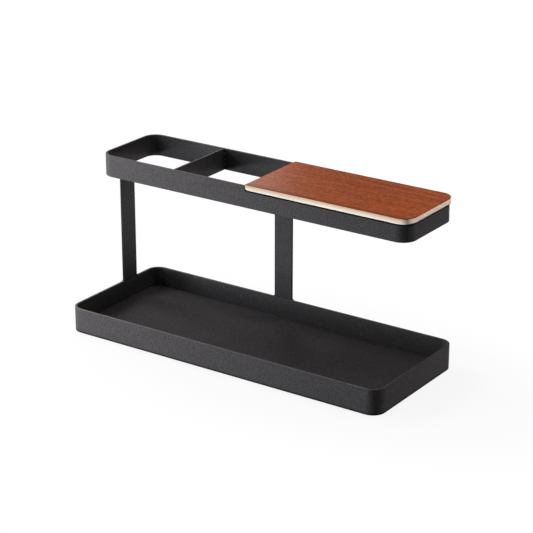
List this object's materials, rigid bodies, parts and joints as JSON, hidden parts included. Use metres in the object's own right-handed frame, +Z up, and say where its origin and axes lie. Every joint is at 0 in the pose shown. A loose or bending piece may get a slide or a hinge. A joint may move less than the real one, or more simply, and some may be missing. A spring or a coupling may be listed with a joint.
{
  "type": "desk organiser",
  "caption": "Black coated steel desktop organiser: a shallow tray below, flat uprights, and a raised open ring with a divider and a reddish wood panel over its right half.",
  "frame": {"origin": "middle of the tray's footprint, on the surface that the foot pads stand on", "axes": "+X along the width, towards the end with the wood panel; +Y towards the rear, where the rear upright and the ring's rear wall are; +Z up"},
  "size_m": [0.3, 0.117, 0.1446],
  "materials": {
    "coated_steel": "fine textured matt black powder coat",
    "foot_rubber": "matt",
    "face_veneer": "satin reddish-brown stain, grain along X",
    "plywood": "bare pale plywood edge",
    "back_veneer": "bare pale veneer",
    "zinc_screw": "bright zinc"
  },
  "bodies": {
    "root": {"tray_rim": "coated_steel", "tray_floor": "coated_steel", "tray_floor_welds": "coated_steel", "left_upright": "coated_steel", "left_upright_welds": "coated_steel", "rear_upright": "coated_steel", "rear_upright_welds": "coated_steel", "upper_ring": "coated_steel", "ring_divider": "coated_steel", "divider_welds": "coated_steel", "panel_strap_left": "coated_steel", "panel_strap_right": "coated_steel", "panel_strap_welds": "coated_steel", "foot_pad_front_left": "foot_rubber", "foot_pad_front_right": "foot_rubber", "foot_pad_rear_left": "foot_rubber", "foot_pad_rear_right": "foot_rubber", "panel_lower_ply": "plywood", "panel_core_ply": "plywood", "panel_upper_ply": "plywood", "panel_back_veneer": "back_veneer", "panel_face_veneer": "face_veneer", "panel_screws": "zinc_screw"}
  },
  "joints": []
}
